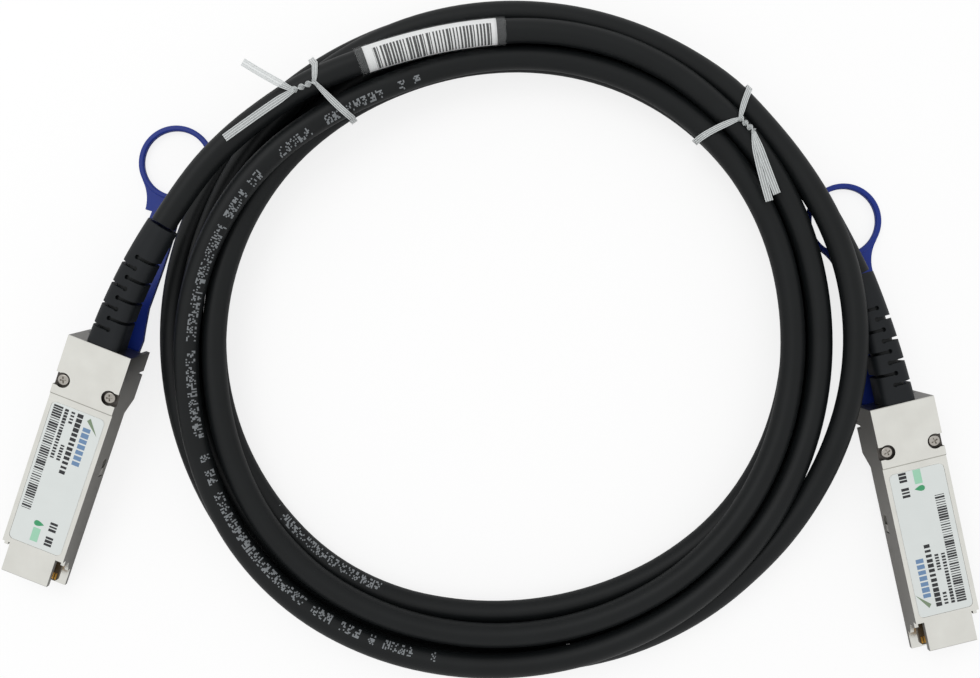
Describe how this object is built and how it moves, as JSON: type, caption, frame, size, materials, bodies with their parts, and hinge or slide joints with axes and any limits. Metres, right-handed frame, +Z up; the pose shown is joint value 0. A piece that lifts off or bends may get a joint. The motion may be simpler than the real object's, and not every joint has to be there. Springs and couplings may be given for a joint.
{
  "type": "direct attach copper cable",
  "caption": "Coiled round black copper cable with a metal pluggable end, segmented boot and blue sprung pull tab at each end, held by twist ties.",
  "frame": {"origin": "on the floor, midway between the two plugs and their tabs", "axes": "+X from the left plug to the right plug, +Y from the plugs' noses towards the cable, +Z up from the floor"},
  "size_m": [0.2828, 0.197, 0.0246],
  "materials": {
    "nickel_plated_zinc": "die-cast zinc with a satin nickel plate",
    "label_film": "satin white label film",
    "circuit_board": "solder-masked laminate",
    "gold_plate": "gold-plated contacts",
    "wire_insulation": "foil-wrapped pairs",
    "crimp_metal": "plated crimp",
    "jacket": "black extruded PVC jacket",
    "boot_rubber": "moulded black strain relief",
    "stamped_steel": "stamped stainless steel",
    "spring_steel": "spring wire",
    "screw_steel": "nickel-plated steel screws",
    "tab_blue": "moulded blue pull tab",
    "clear_sleeve": "clear heat-shrink sleeve",
    "paper_slip": "white paper slip",
    "tie_film": "translucent plastic-coated twist tie"
  },
  "bodies": {
    "root": {"left_base_shell": "nickel_plated_zinc", "left_cover_shell": "nickel_plated_zinc", "left_cover_screws": "screw_steel", "left_label": "label_film", "left_paddle_card": "circuit_board", "left_contacts": "gold_plate", "left_wire_pairs": "wire_insulation", "left_crimp_ferrule": "crimp_metal", "left_cable_end": "jacket", "left_boot": "boot_rubber", "left_return_springs": "spring_steel", "right_base_shell": "nickel_plated_zinc", "right_cover_shell": "nickel_plated_zinc", "right_cover_screws": "screw_steel", "right_label": "label_film", "right_paddle_card": "circuit_board", "right_contacts": "gold_plate", "right_wire_pairs": "wire_insulation", "right_crimp_ferrule": "crimp_metal", "right_cable_end": "jacket", "right_boot": "boot_rubber", "right_return_springs": "spring_steel", "cable_coil": "jacket", "loose_turn": "jacket", "left_cable_lead": "jacket", "right_cable_lead": "jacket", "id_sleeve": "clear_sleeve", "id_slip": "paper_slip", "left_tie": "tie_film", "right_tie": "tie_film"},
    "left_release": {"left_release_slider": "stamped_steel", "left_tab_rivets": "stamped_steel", "left_pull_tab": "tab_blue"},
    "right_release": {"right_release_slider": "stamped_steel", "right_tab_rivets": "stamped_steel", "right_pull_tab": "tab_blue"}
  },
  "joints": [
    {"name": "left_release_slide", "type": "slide", "parent": "root", "child": "left_release", "axis": [0.3614, 0.9222, 0.1374], "range_m": [0, 0.0025], "stiffness_N_per_m": 600, "springref_m": -0.002, "deforming": ["left_return_springs"]},
    {"name": "right_release_slide", "type": "slide", "parent": "root", "child": "right_release", "axis": [-0.2364, 0.9696, 0.0628], "range_m": [0, 0.0025], "stiffness_N_per_m": 600, "springref_m": -0.002, "deforming": ["right_return_springs"]}
  ]
}
